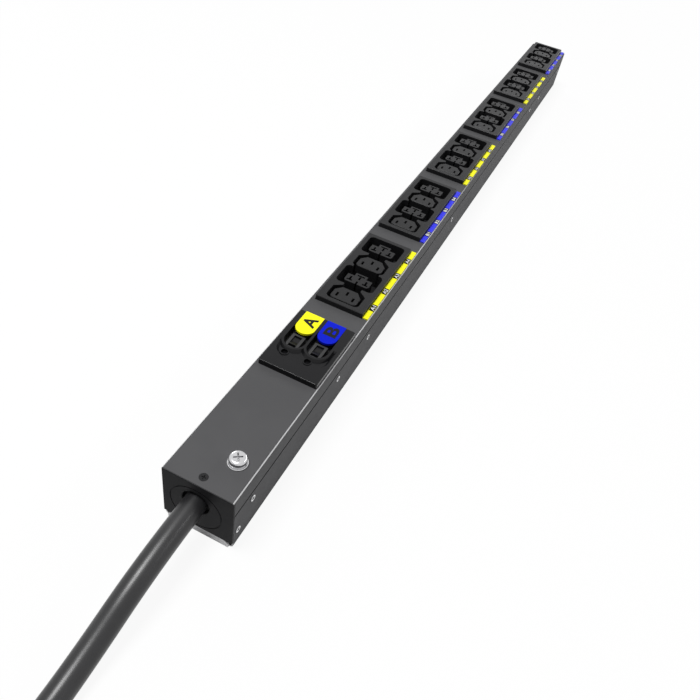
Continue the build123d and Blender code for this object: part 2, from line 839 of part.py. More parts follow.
def label_strip(near):
    """A coloured strip beside a module with four shallow seats for its number plates."""
    x = module_x + module_width / 2 + strip_gap + strip_width / 2
    with BuildPart() as strip:
        with BuildSketch(Plane.XY.offset(front)):
            with Locations((x, near + strip_start + strip_length / 2)):
                Rectangle(strip_width, strip_length)
        extrude(amount=strip_thickness)
        with BuildSketch(Plane.XY.offset(front + strip_thickness)):
            for before, after in zip(bar_ends, bar_ends[1:]):
                with Locations((x + strip_edge / 2, near + strip_start + (before[1] + after[0]) / 2)):
                    Rectangle(strip_width - strip_edge, after[0] - before[1])
        extrude(amount=-field_drop, mode=Mode.SUBTRACT)
    return strip.part


def number_plate(near, low, high):
    """One dark plate for an outlet number."""
    x = module_x + module_width / 2 + strip_gap + strip_width / 2
    with BuildPart() as plate:
        with BuildSketch(Plane.XY.offset(front + strip_thickness - field_drop)):
            with Locations((x + strip_edge / 2, near + strip_start + (low + high) / 2)):
                Rectangle(strip_width - strip_edge, high - low)
        extrude(amount=field_drop)
    return plate.part


def rear_cover(near):
    """The tray that closes a module from behind and carries the busbars."""
    middle = near + module_length / 2
    low = module_bottom - rear_cover_drop
    with BuildPart() as tray:
        with BuildSketch(across(near + module_length - tray_end_margin)):
            with Locations((module_x, low + rear_cover_drop / 2)):
                Rectangle(module_width - 2 * tray_margin, rear_cover_drop)
            with Locations((module_x, low + rear_cover_thickness + rear_cover_drop / 2)):
                Rectangle(
                    module_width - 2 * tray_margin - 2 * rear_cover_thickness,
                    rear_cover_drop,
                    mode=Mode.SUBTRACT,
                )
        extrude(amount=module_length - 2 * tray_end_margin)
    return tray.part


module_starts = [from_cable_end(module_near + k * module_pitch) for k in range(module_count)]
for number, near in enumerate(module_starts, start=1):
    save(outlet_housing(near), f"outlet_housing_{number}")
    cores = []
    for step in range(2):
        cores.append(small_core(near + small_outlet_from_near + step * outlet_step))
        cores.append(large_core(near + large_outlet_from_near + step * outlet_step))
    group(cores, f"outlet_cores_{number}")
    save(label_strip(near), f"label_strip_{number}")

field_ends = [(before[1], after[0]) for before, after in zip(bar_ends, bar_ends[1:])]
group([number_plate(near, *ends) for near in module_starts for ends in field_ends], "number_plates")
group([rear_cover(near) for near in module_starts], "module_rear_covers")

small_places = [
    near + small_outlet_from_near + step * outlet_step for near in module_starts for step in range(2)
]
large_places = [
    near + large_outlet_from_near + step * outlet_step for near in module_starts for step in range(2)
]
for side, conductor in ((-1, "line"), (1, "neutral")):
    clips = [contact(module_x + side * slot_spread, y + outer_slot_y) for y in small_places]
    clips += [contact(module_x + side * slot_spread, y + large_outer_stem_y) for y in large_places]
    group(clips, f"{conductor}_contacts")
clips = [contact(module_x, y + middle_slot_y) for y in small_places]
clips += [contact(module_x, y + large_middle_stem_y) for y in large_places]
group(clips, "earth_contacts")

# Busbars on the floors of the rear covers
tray_width = module_width - 2 * tray_margin
outer_bar_spread = tray_width / 2 - rear_cover_thickness - busbar_width / 2 - bar_clearance
bar_floor = module_bottom - rear_cover_drop + rear_cover_thickness
bar_near = module_starts[0] - busbar_overhang
bar_far = module_starts[-1] + module_length - busbar_far_margin
busbar_places = {
    "line": pocket_x,
    "neutral": (module_x + outer_bar_spread,),
    "earth": (module_x - outer_bar_spread,),
}
for conductor, places in busbar_places.items():
    bars = []
    for x in places:
        with BuildPart() as busbar:
            with BuildSketch(Plane.XY.offset(bar_floor)):
                with Locations((x, (bar_near + bar_far) / 2)):
                    Rectangle(busbar_width, bar_far - bar_near)
            extrude(amount=busbar_thickness)
        bars.append(busbar.part)
    group(bars, f"{conductor}_busbars")


def lead(points):
    """A round insulated lead along straight runs with rounded corners."""
    with BuildPart() as piece:
        with BuildLine() as route:
            FilletPolyline(*points, radius=lead_bend)
        with BuildSketch(Plane(origin=route.line @ 0, z_dir=route.line % 0)):
            Circle(core_diameter / 2)
        sweep()
    return piece.part


core_start = gland_face + tail_length
blade_z = breaker_low - terminal_size[2] / 2
near_blade = terminal_y[0] - terminal_size[1] / 2
far_blade = terminal_y[1] + terminal_size[1] / 2
lane_z = sheet + core_diameter / 2 + lane_rise
rise_y = bar_near + busbar_width
earth_lane = busbar_places["earth"][0]
neutral_lane = busbar_places["neutral"][0]
low_core_z = cord_hole_z - core_pitch * low_core_share
high_core_z = cord_hole_z + core_pitch * high_core_share
line_route = [
    (cord_hole_x, core_start, high_core_z),
    (cord_hole_x, core_start + line_lead_straight, high_core_z),
    (pocket_x[0], near_blade - line_lead_drop, blade_z),
    (pocket_x[0], near_blade, blade_z),
]
save(lead(line_route), "lead_line")
for side, lane, conductor in ((-1, earth_lane, "earth"), (1, neutral_lane, "neutral")):
    core_x = cord_hole_x + side * core_pitch / 2
    lane_route = [
        (core_x, core_start, low_core_z),
        (core_x, core_start + lane_lead_straight, low_core_z),
        (lane, near_blade - lane_lead_drop, lane_z),
        (lane, rise_y, lane_z),
        (lane, rise_y, bar_floor),
    ]
    save(lead(lane_route), f"lead_{conductor}")
bank_leads = [
    lead([(x, far_blade, blade_z), (x, rise_y, blade_z), (x, rise_y, bar_floor)]) for x in pocket_x
]
group(bank_leads, "bank_leads")

# Threaded inserts pressed into the back


def insert(x, y):
    """One threaded insert: a pilot flush with the back and a head inside."""
    with BuildPart() as piece:
        with BuildSketch(Plane.XY):
            with Locations((x, y)):
                Circle(insert_pilot_radius)
        extrude(amount=sheet)
        with BuildSketch(Plane.XY.offset(sheet)):
            with Locations((x, y)):
                Circle(insert_radius)
        extrude(amount=insert_height)
        with BuildSketch(Plane.XY):
            with Locations((x, y)):
                Circle(insert_thread_radius)
        extrude(amount=sheet + insert_height, mode=Mode.SUBTRACT)
    return piece.part


half_x = insert_spacing_x / 2
half_y = insert_spacing_y / 2
group([insert(x, y) for x in (-half_x, half_x) for y in (-half_y, half_y)], "rear_inserts")

# Free cord: the stretch from the cap down to the floor and on to the hank
cord_points = [
    (cord_hole_x, gland_face, cord_hole_z),
    (cord_hole_x, -518.0, cord_hole_z),
    (-4.6, -582.0, 8.6),
    (-3.8, -624.0, cord_radius),
    (1.5, -646.0, cord_radius),
    (12.0, -670.0, cord_radius),
    (hank_x + hank_middle_radius + cord_radius, hank_near + 24.0, cord_radius),
    (hank_x + hank_middle_radius + cord_radius, hank_near, cord_radius),
]
end_points = [
    (hank_x - hank_middle_radius, hank_near - hank_run - 62.0, 22.0),
    (hank_x - hank_middle_radius, hank_near - hank_run + 8.0, 22.0),
    (hank_x - cord_radius, hank_near - hank_run + 92.0, plug_radius),
    (hank_x - cord_radius, hank_near - hank_run + 142.0, plug_radius),
]


def corner_radii(points):
    """0.45 of the shorter run beside each corner, over the tangent of half its turn."""
    radii = []
    for before, corner, after in zip(points, points[1:], points[2:]):
        run_in = Vector(*corner) - Vector(*before)
        run_out = Vector(*after) - Vector(*corner)
        turn = math.radians(run_in.get_angle(run_out))
        radii.append(0.45 * min(run_in.length, run_out.length) / math.tan(turn / 2))
    return radii


def tube(points, name):
    """The part of a cord that isn't coiled, along runs joined by tangent arcs."""
    radii = corner_radii(points)
    with BuildPart() as piece:
        with BuildLine() as route:
            FilletPolyline(*points, radius=radii)
        with BuildSketch(Plane(origin=route.line @ 0, z_dir=route.line % 0)):
            Circle(cord_radius)
        sweep()
    section = math.pi * cord_radius**2
    run_length = sum(edge.length for edge in route.edges())
    print(name, "radii", [round(r) for r in radii], "length", round(run_length, 1))
    print(name, "volume", round(piece.part.volume), "section times length", round(section * run_length))
    return piece.part


save(tube(cord_points, "power_cord"), "power_cord")

with BuildPart() as cord_hank:
    hank_far = hank_near - hank_run
    outer = hank_middle_radius + cord_diameter
    inner = hank_middle_radius - cord_diameter
    with BuildSketch(Plane.XY):
        with Locations((hank_x, hank_near - hank_run / 2)):
            Rectangle(2 * outer, hank_run)
        with Locations((hank_x, hank_far)):
            Circle(outer)
        with Locations((hank_x - cord_radius, hank_near)):
            Circle(outer - cord_radius)
        with Locations((hank_x, hank_near - hank_run / 2)):
            Rectangle(2 * inner, hank_run, mode=Mode.SUBTRACT)
        with Locations((hank_x, hank_near), (hank_x, hank_far)):
            Circle(inner, mode=Mode.SUBTRACT)
    extrude(amount=hank_height)
    rims = cord_hank.faces().filter_by(Axis.Z).edges()
    chamfer(rims.filter_by(lambda edge: edge.bounding_box().min.Y < hank_near - 0.01), length=hank_rim)
    with BuildSketch(Plane.XY):
        with Locations((hank_x + hank_middle_radius, hank_near - hank_run / 2)):
            Rectangle(2 * cord_diameter, tie_width)
    extrude(amount=tie_thickness, mode=Mode.SUBTRACT)
save(cord_hank.part, "cord_hank")

with BuildPart() as hank_tie:
    with BuildSketch(across(hank_near - hank_run / 2 + tie_width / 2)):
        with Locations((hank_x + hank_middle_radius, (hank_height + tie_thickness) / 2)):
            Rectangle(2 * cord_diameter + 2 * tie_thickness, hank_height + tie_thickness)
        with Locations((hank_x + hank_middle_radius, (hank_height + tie_thickness) / 2)):
            Rectangle(2 * cord_diameter, hank_height - tie_thickness, mode=Mode.SUBTRACT)
    extrude(amount=tie_width)
save(hank_tie.part, "hank_tie")

with BuildPart() as cord_end:
    add(tube(end_points, "cord_end"))
    split(bisect_by=Plane.YZ.offset(hank_x - inner), keep=Keep.TOP)
save(cord_end.part, "cord_end")

# Supply plug lying inside the hank, its pins towards the chassis
plug_start = end_points[-1][1]
plug_axis = Axis((hank_x - cord_radius, 0, plug_radius), (0, 1, 0))
plug_x = hank_x - cord_radius


def plug_piece(profile, flutes=None):
    """A turned piece of the plug from (radius, distance along it) points.

    Flutes are round grooves along it: their count, distance from the axis, radius, start and end.
    """
    with BuildPart() as piece:
        with BuildSketch(Plane.XY.offset(plug_radius)):
            with BuildLine():
                Polyline(*[(plug_x + r, plug_start + y) for r, y in profile], close=True)
            make_face()
        revolve(axis=plug_axis)
        if flutes:
            count, distance, radius, start, end = flutes
            with BuildSketch(across(plug_start + end)):
                with Locations((plug_x, plug_radius)):
                    with PolarLocations(distance, count):
                        Circle(radius)
            extrude(amount=end - start, mode=Mode.SUBTRACT)
    return piece.part


body_start = plug_nut_length
shroud_start = body_start + plug_body_length
plug_end = shroud_start + plug_shroud_length
nut_profile = [
    (0, 0),
    (cord_radius + plug_nut_wall, 0),
    (plug_nut_radius, 3),
    (plug_nut_radius, body_start),
    (0, body_start),
]
nut_flutes = (plug_nut_flutes, plug_nut_radius + 0.8, 2.0, 4.0, body_start - 2.0)
save(plug_piece(nut_profile, nut_flutes), "plug_nut")

body_profile = [
    (0, body_start),
    (plug_grip_radius - 6.5, body_start),
    (plug_grip_radius - 2.5, body_start + 6),
    (plug_grip_radius, body_start + 24),
    (plug_grip_radius, shroud_start - 10),
    (plug_radius, shroud_start - 7),
    (plug_radius, shroud_start),
    (0, shroud_start),
]
grip_flutes = (plug_grip_flutes, plug_grip_radius + 2.4, 4.2, body_start + 10.0, shroud_start - 12.0)
save(plug_piece(body_profile, grip_flutes), "plug_body")

with BuildPart() as plug_shroud:
    with BuildSketch(across(plug_start + plug_end)):
        with Locations((plug_x, plug_radius)):
            Circle(plug_shroud_radius)
        with Locations((plug_x, plug_radius - plug_shroud_radius)):
            Rectangle(plug_key_width, 2 * plug_key_height)
        with Locations((plug_x, plug_radius)):
            Circle(plug_shroud_radius - plug_shroud_wall, mode=Mode.SUBTRACT)
    extrude(amount=plug_shroud_length)
    with BuildSketch(across(plug_start + shroud_start + plug_shroud_foot)):
        with Locations((plug_x, plug_radius)):
            Circle(plug_shroud_radius - 1.0)
            Circle(plug_pin_circle + 9.0, mode=Mode.SUBTRACT)
    extrude(amount=plug_shroud_foot)
save(plug_shroud.part, "plug_shroud")


def plug_pin(angle, radius):
    """One round contact pin standing on the plug body."""
    turn = math.radians(angle)
    with BuildPart() as piece:
        with BuildSketch(across(plug_start + shroud_start + plug_pin_length)):
            with Locations(
                (plug_x + plug_pin_circle * math.cos(turn), plug_radius + plug_pin_circle * math.sin(turn))
            ):
                Circle(radius)
        extrude(amount=plug_pin_length)
        chamfer(piece.faces().sort_by(Axis.Y)[-1].edges(), length=0.8)
    return piece.part


pins = [plug_pin(-90, plug_pin_radius + 1), plug_pin(30, plug_pin_radius), plug_pin(150, plug_pin_radius)]
group(pins, "plug_pins")
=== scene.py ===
"""Looks of a vertical rack power distribution unit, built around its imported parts.

Lengths are in metres in the frame of the parts: X across the outlet face, Y along the chassis from
the cable end, Z out of the outlet face. The unit lies on its back on the floor at Z = 0.
"""

import math

import bpy
import numpy as np
from mathutils import Euler, Matrix, Vector


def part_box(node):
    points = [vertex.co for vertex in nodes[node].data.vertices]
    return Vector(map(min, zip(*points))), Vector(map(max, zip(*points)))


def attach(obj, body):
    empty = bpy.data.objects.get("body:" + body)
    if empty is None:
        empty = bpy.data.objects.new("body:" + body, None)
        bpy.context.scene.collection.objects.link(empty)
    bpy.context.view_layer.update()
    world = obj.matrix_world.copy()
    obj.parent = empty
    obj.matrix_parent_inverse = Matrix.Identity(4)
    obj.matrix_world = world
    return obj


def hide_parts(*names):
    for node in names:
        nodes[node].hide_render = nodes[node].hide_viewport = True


bl_info = {
    "name": "Rack power distribution unit",
    "version": (1, 0, 0),
    "blender": (4, 5, 0),
    "location": "3D View > Sidebar > Power unit",
    "description": "Finishes, cord, letters and studio for a vertical rack power distribution unit",
    "category": "Object",
}

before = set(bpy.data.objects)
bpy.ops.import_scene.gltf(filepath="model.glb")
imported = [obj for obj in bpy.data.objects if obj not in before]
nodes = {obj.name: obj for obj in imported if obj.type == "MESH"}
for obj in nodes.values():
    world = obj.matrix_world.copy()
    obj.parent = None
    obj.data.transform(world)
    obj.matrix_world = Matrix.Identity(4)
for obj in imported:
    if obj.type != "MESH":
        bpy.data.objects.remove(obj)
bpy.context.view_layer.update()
CHASSIS = "chassis"
MODULES = 6
OUTLETS_PER_MODULE = 4
RIVET_HEIGHT = 0.0297
RIVET_PLACES = (-0.4520, -0.3272, -0.2708, -0.0558, 0.2797, 0.3325, 0.4565)
END_RIVET = (-0.4689, 0.0165)
RIVETS = [(along, RIVET_HEIGHT) for along in RIVET_PLACES] + [END_RIVET]

# Zones of the finishes: where each one starts and where it is complete

# CREST_REACH and CREST_FADE place a painted highlight along the crest of the front bends
CREST_REACH = (0.07792, 0.07799)
CREST_FADE = (0.12, -0.16)
# INNER_SIDE, INNER_LOW, INNER_HIGH, SEAM_LOW and SEAM_HIGH place painted shade on the inner faces and in a
# band along the seam
INNER_SIDE = (0.0252, 0.0250)
INNER_LOW = (0.0068, 0.0072)
INNER_HIGH = (0.0516, 0.0514)
SEAM_LOW = (0.03590, 0.03602)
SEAM_HIGH = (0.03760, 0.03748)
# These two place a lighter colour on the low edge at the cable end
PALE_EDGE_HEIGHT = (0.0062, 0.0060)
PALE_EDGE_END = (-0.4733, -0.4736)
# RIVET_BORE and RIVET_FACE place painted shade in the rivet bores and behind the chassis face
RIVET_BORE = (0.0016, 0.0014)
RIVET_FACE = (0.0262, 0.0260)
# Colour of the painted shade on the inner faces and along the seam
PAINTED_SHADE = (0.006, 0.006, 0.006)
BORE_SHADE = (0.01, 0.01, 0.01)
# How much lower the roughness is under the painted highlight on the bend crests
CREST_SMOOTHING = 0.35
GRAIN_DEPTH = 0.0002
GLOSS_SPREAD = 0.06

# Path of the supply cord

HANK_X = -0.045
HANK_NEAR = -0.720
HANK_MIDDLE = 0.056
HANK_ENTRY = 0.024
LOW_LAYER = 0.008
TOP_LAYER = 0.022
OVER_CROSSING = 0.0245
PLUG_HEIGHT = 0.031
RISE_START = 0.008
RISE_END = 0.092
CORD_END = 0.142

# Print, from the near end of its tab or strip

LETTER_PLACE = 0.0145
PLATE_MIDDLES = (0.0155, 0.0409, 0.0663, 0.0918)
PRINT_SHIFT = 0.0002
LETTER_WEIGHT = 0.032
NUMBER_WEIGHT = 0.012

# Share of the floor's own brightness where the camera or a reflection meets it

FLOOR_GLOW = 0.92


# Settings

class FinishSettings(bpy.types.PropertyGroup):
    """Colours of the finishes."""

    coat: bpy.props.FloatVectorProperty(
        name="Chassis coat",
        description="Colour of the powder coat",
        subtype="COLOR",
        default=(0.088, 0.088, 0.091),
    )
    # Colour of the painted highlight along the bend crests; the same colour makes the low edge at the cable
    # end lighter
    highlight_and_pale_edge: bpy.props.FloatVectorProperty(
        name="Painted highlight and pale edge",
        description="Colour along the crests of the bends",
        subtype="COLOR",
        default=(0.62, 0.62, 0.63),
    )
    coat_roughness: bpy.props.FloatProperty(
        name="Coat roughness",
        description="Roughness of the powder coat",
        default=0.6,
        min=0.0,
        max=1.0,
    )
    moulding: bpy.props.FloatVectorProperty(
        name="Mouldings",
        description="Colour of the black outlet mouldings",
        subtype="COLOR",
        default=(0.010, 0.010, 0.011),
    )
    insert: bpy.props.FloatVectorProperty(
        name="Outlet inserts",
        description="Colour of the inserts in the outlets",
        subtype="COLOR",
        default=(0.012, 0.012, 0.013),
    )
    bezel: bpy.props.FloatVectorProperty(
        name="Breaker bezel",
        description="Colour of the breaker bezel",
        subtype="COLOR",
        default=(0.007, 0.007, 0.008),
    )
    cap: bpy.props.FloatVectorProperty(
        name="End caps",
        description="Colour of the end caps",
        subtype="COLOR",
        default=(0.010, 0.010, 0.011),
    )
    yellow: bpy.props.FloatVectorProperty(
        name="Bank yellow",
        description="Colour of bank A",
        subtype="COLOR",
        default=(0.97, 0.95, 0.012),
    )
    blue: bpy.props.FloatVectorProperty(
        name="Bank blue",
        description="Colour of bank B",
        subtype="COLOR",
        default=(0.003, 0.013, 0.56),
    )
    strip_blue: bpy.props.FloatVectorProperty(
        name="Strip blue",
        description="Colour of bank B's strips",
        subtype="COLOR",
        default=(0.028, 0.032, 0.78),
    )


class CordSettings(bpy.types.PropertyGroup):
    """Sizes of the supply cord."""

    diameter: bpy.props.FloatProperty(
        name="Diameter", description="Outer diameter of the cord", default=0.016, unit="LENGTH"
    )
    hank_run: bpy.props.FloatProperty(
        name="Hank run", description="Straight part of the put-away hank", default=0.262, unit="LENGTH"
    )
    loop_points: bpy.props.IntProperty(
        name="Loop points", description="Points in each half turn of the hank", default=9, min=6
    )
    jacket: bpy.props.FloatVectorProperty(
        name="Jacket",
        description="Colour of the cord's jacket",
        subtype="COLOR",
        default=(0.013, 0.013, 0.014),
    )


class LetterSettings(bpy.types.PropertyGroup):
    """Sizes of the bank letters and outlet numbers."""

    bank_height: bpy.props.FloatProperty(
        name="Bank letter height",
        description="Height of the letters on the tabs",
        default=0.0106,
        unit="LENGTH",
    )
    bank_length: bpy.props.FloatProperty(
        name="Bank letter width",
        description="Width of the letters on the tabs",
        default=0.0116,
        unit="LENGTH",
    )
    number_height: bpy.props.FloatProperty(
        name="Number height", description="Height of the outlet numbers", default=0.0031, unit="LENGTH"
    )
    number_length: bpy.props.FloatProperty(
        name="Number width", description="Width of an outlet number", default=0.0062, unit="LENGTH"
    )
    ink: bpy.props.FloatProperty(
        name="Ink", description="How far the print stands up", default=0.00006, unit="LENGTH"
    )


class StageSettings(bpy.types.PropertyGroup):
    """Camera, lamps and floor."""

    camera_place: bpy.props.FloatVectorProperty(
        name="Camera place",
        description="Where the camera stands",
        subtype="XYZ",
        default=(0.1383, -0.6732, 0.4073),
    )
    camera_turn: bpy.props.FloatVectorProperty(
        name="Camera turn",
        description="The camera's angles in degrees",
        subtype="XYZ",
        default=(45.875, -8.538, 25.426),
    )
    lens: bpy.props.FloatProperty(name="Lens", description="Focal length in millimetres", default=35.09)
    floor_size: bpy.props.FloatProperty(
        name="Floor size", description="Side of the floor", default=8.0, unit="LENGTH"
    )
    world_light: bpy.props.FloatProperty(
        name="World light", description="Strength of the even light", default=0.2, min=0.0
    )


# Helpers for materials

def new_material(name):
    """An empty node material with its shader."""
    material = bpy.data.materials.new(name)
    material.use_nodes = True
    tree = material.node_tree
    shader = tree.nodes["Principled BSDF"]
    return material, tree, shader


def noise(tree, scale, detail=4.0, roughness=0.55, stretch=(1.0, 1.0, 1.0)):
    """Noise in object coordinates, stretched along an axis where asked; gives its value output."""
    place = tree.nodes.new("ShaderNodeTexCoord")
    mapping = tree.nodes.new("ShaderNodeMapping")
    mapping.inputs["Scale"].default_value = stretch
    texture = tree.nodes.new("ShaderNodeTexNoise")
    texture.inputs["Scale"].default_value = scale
    texture.inputs["Detail"].default_value = detail
    texture.inputs["Roughness"].default_value = roughness
    tree.links.new(place.outputs["Object"], mapping.inputs["Vector"])
    tree.links.new(mapping.outputs["Vector"], texture.inputs["Vector"])
    return texture.outputs["Fac"]


def ramp(tree, value, low, high, start=0.35, end=0.65):
    """A value mapped between two colours."""
    node = tree.nodes.new("ShaderNodeValToRGB")
    node.color_ramp.elements[0].position = start
    node.color_ramp.elements[1].position = end
    node.color_ramp.elements[0].color = (*low, 1.0)
    node.color_ramp.elements[1].color = (*high, 1.0)
    tree.links.new(value, node.inputs["Fac"])
    return node.outputs["Color"]


def span(tree, value, low, high):
    """A value from 0 to 1 carried to a range."""
    node = tree.nodes.new("ShaderNodeMapRange")
    node.inputs["To Min"].default_value = low
    node.inputs["To Max"].default_value = high
    tree.links.new(value, node.inputs["Value"])
    return node.outputs["Result"]


def bump(tree, shader, height, strength, distance):
    """Relief from a height value."""
    node = tree.nodes.new("ShaderNodeBump")
    node.inputs["Strength"].default_value = strength
    node.inputs["Distance"].default_value = distance
    tree.links.new(height, node.inputs["Height"])
    tree.links.new(node.outputs["Normal"], shader.inputs["Normal"])


def shade(colour, factor):
    """A colour made lighter or darker by a factor."""
    return tuple(min(1.0, channel * factor) for channel in colour)


def grained(name, colour, roughness, grain, relief, variation=0.1, specular=0.5, metallic=0.0):
    """A finish with a fine grain in relief, slow colour changes and slightly uneven gloss."""
    material, tree, shader = new_material(name)
    cloud = noise(tree, 22.0)
    tone = ramp(tree, cloud, shade(colour, 1.0 - variation), shade(colour, 1.0 + variation))
    tree.links.new(tone, shader.inputs["Base Color"])
    patch = noise(tree, 140.0, detail=6.0)
    gloss = span(tree, patch, roughness - GLOSS_SPREAD, roughness + GLOSS_SPREAD)
    tree.links.new(gloss, shader.inputs["Roughness"])
    shader.inputs["Metallic"].default_value = metallic
    shader.inputs["Specular IOR Level"].default_value = specular
    bump(tree, shader, noise(tree, grain, detail=2.0), relief, GRAIN_DEPTH)
    return material


def dress(material, *names):
    """Gives CAD nodes a material."""
    for name in names:
        slots = nodes[name].material_slots
        if len(slots) == 0:
            nodes[name].data.materials.append(material)
        for slot in nodes[name].material_slots:
            slot.link = "OBJECT"
            slot.material = material


# Helpers for meshes

def grid_mesh(name, points, close_u, close_v):
    """A mesh from a grid of points of shape (u, v, 3); its faces join neighbours in u and in v."""
    count_u, count_v, _ = points.shape
    last_u = count_u if close_u else count_u - 1
    last_v = count_v if close_v else count_v - 1
    u, v = np.meshgrid(np.arange(last_u), np.arange(last_v), indexing="ij")
    next_u = (u + 1) % count_u
    next_v = (v + 1) % count_v
    corners = [u * count_v + v, next_u * count_v + v, next_u * count_v + next_v, u * count_v + next_v]
    faces = np.stack(corners, axis=-1).reshape(-1, 4)
    mesh = bpy.data.meshes.new(name)
    mesh.from_pydata(points.reshape(-1, 3).tolist(), [], faces.tolist())
    mesh.validate()
    mesh.shade_smooth()
    return mesh


def add_piece(name, mesh, material, body=CHASSIS):
    """Links a mesh as a piece that rides on a body."""
    piece = bpy.data.objects.new(name, mesh)
    bpy.context.scene.collection.objects.link(piece)
    piece.data.materials.append(material)
    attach(piece, body)
    return piece


def written(name, text, place, height, length, ink, weight):
    """Raised print, tops towards -X and line along +Y, centred on a place and fitted to a size."""
    curve = bpy.data.curves.new(name, "FONT")
    curve.body = text
    curve.offset = weight
    curve.extrude = 0.02
    source = bpy.data.objects.new(name + "_source", curve)
    bpy.context.scene.collection.objects.link(source)
    bpy.context.view_layer.update()
    mesh = bpy.data.meshes.new_from_object(source.evaluated_get(bpy.context.evaluated_depsgraph_get()))
    mesh.name = name
    bpy.data.objects.remove(source)
    flat = np.empty(len(mesh.vertices) * 3)
    mesh.vertices.foreach_get("co", flat)
    points = flat.reshape(-1, 3)
    low, high = points.min(axis=0), points.max(axis=0)
    share = (points - low) / (high - low)
    placed = np.empty_like(points)
    placed[:, 0] = place[0] + (0.5 - share[:, 1]) * height
    placed[:, 1] = place[1] + (share[:, 0] - 0.5) * length
    placed[:, 2] = place[2] + share[:, 2] * ink
    mesh.vertices.foreach_set("co", placed.ravel())
    mesh.update()
    return mesh


# Finishes

def between(tree, value, start, end):
    """A smooth step of a value: 0 up to start, 1 from end on, or the other way round if end is lower."""
    node = tree.nodes.new("ShaderNodeMapRange")
    node.interpolation_type = "SMOOTHSTEP"
    node.inputs["From Min"].default_value = min(start, end)
    node.inputs["From Max"].default_value = max(start, end)
    node.inputs["To Min"].default_value = 0.0 if start < end else 1.0
    node.inputs["To Max"].default_value = 1.0 if start < end else 0.0
    tree.links.new(value, node.inputs["Value"])
    return node.outputs["Result"]


def worked(tree, operation, first, second=None):
    """One arithmetic step between two values."""
    node = tree.nodes.new("ShaderNodeMath")
    node.operation = operation
    tree.links.new(first, node.inputs[0])
    if second is not None:
        tree.links.new(second, node.inputs[1])
    return node.outputs["Value"]


def blended(tree, share, first, second):
    """Two colours mixed by a share."""
    node = tree.nodes.new("ShaderNodeMix")
    node.data_type = "RGBA"
    tree.links.new(share, node.inputs["Factor"])
    for value, socket in ((first, node.inputs[6]), (second, node.inputs[7])):
        if isinstance(value, tuple):
            socket.default_value = (*value, 1.0)
        else:
            tree.links.new(value, socket)
    return node.outputs[2]


def powder_coat(settings):
    """Powder coat: orange peel, a painted highlight along the crests of the bends, painted shade on the
    inner faces.

    The crest of a front bend is where the distance from the middle plane plus the height is greatest.
    The painted highlight, with a lower roughness, fades out towards the top end. The inner faces lie between
    the side walls, above the floor and below the front, and a band along the seam has the same painted
    shade. The low edge at the cable end is painted lighter, in the highlight colour.
    """
    material = grained(
        "powder_coat",
        settings.coat,
        settings.coat_roughness,
        grain=2600.0,
        relief=0.16,
        variation=0.04,
        specular=0.06,
    )
    tree = material.node_tree
    shader = tree.nodes["Principled BSDF"]
    place = tree.nodes.new("ShaderNodeTexCoord")
    split = tree.nodes.new("ShaderNodeSeparateXYZ")
    tree.links.new(place.outputs["Object"], split.inputs["Vector"])
    aside = worked(tree, "ABSOLUTE", split.outputs["X"])
    along = split.outputs["Y"]
    height = split.outputs["Z"]
    colour = shader.inputs["Base Color"].links[0].from_socket

    # Painted highlight along the crest of the front bends, fading towards the top end
    crest = between(tree, worked(tree, "ADD", aside, height), *CREST_REACH)
    crest = worked(tree, "MULTIPLY", crest, between(tree, along, *CREST_FADE))
    colour = blended(tree, crest, colour, settings.highlight_and_pale_edge[:])

    # Painted shade on the inner faces and in a band along the seam
    inner = worked(tree, "MULTIPLY", between(tree, aside, *INNER_SIDE), between(tree, height, *INNER_LOW))
    inner = worked(tree, "MULTIPLY", inner, between(tree, height, *INNER_HIGH))
    seam = worked(tree, "MULTIPLY", between(tree, height, *SEAM_LOW), between(tree, height, *SEAM_HIGH))
    colour = blended(tree, worked(tree, "MAXIMUM", inner, seam), colour, PAINTED_SHADE)

    # The low edge at the cable end is painted lighter, in the crest highlight colour
    low = between(tree, height, *PALE_EDGE_HEIGHT)
    edge = worked(tree, "MULTIPLY", low, between(tree, along, *PALE_EDGE_END))
    colour = blended(tree, edge, colour, settings.highlight_and_pale_edge[:])
    tree.links.new(colour, shader.inputs["Base Color"])

    # Lower roughness under the painted highlight on the crests
    gloss = shader.inputs["Roughness"].links[0].from_socket
    crest_smoothing = worked(tree, "MULTIPLY", crest, span(tree, crest, 0.0, CREST_SMOOTHING))
    tree.links.new(worked(tree, "SUBTRACT", gloss, crest_smoothing), shader.inputs["Roughness"])
    return material


class PDU_OT_chassis_finish(bpy.types.Operator):
    """Powder coat on the folded sheets, with a fine orange-peel grain"""

    bl_idname = "pdu.chassis_finish"
    bl_label = "Chassis finish"

    def execute(self, context):
        dress(powder_coat(context.scene.pdu_finish), "front_cover", "rear_channel")
        return {"FINISHED"}


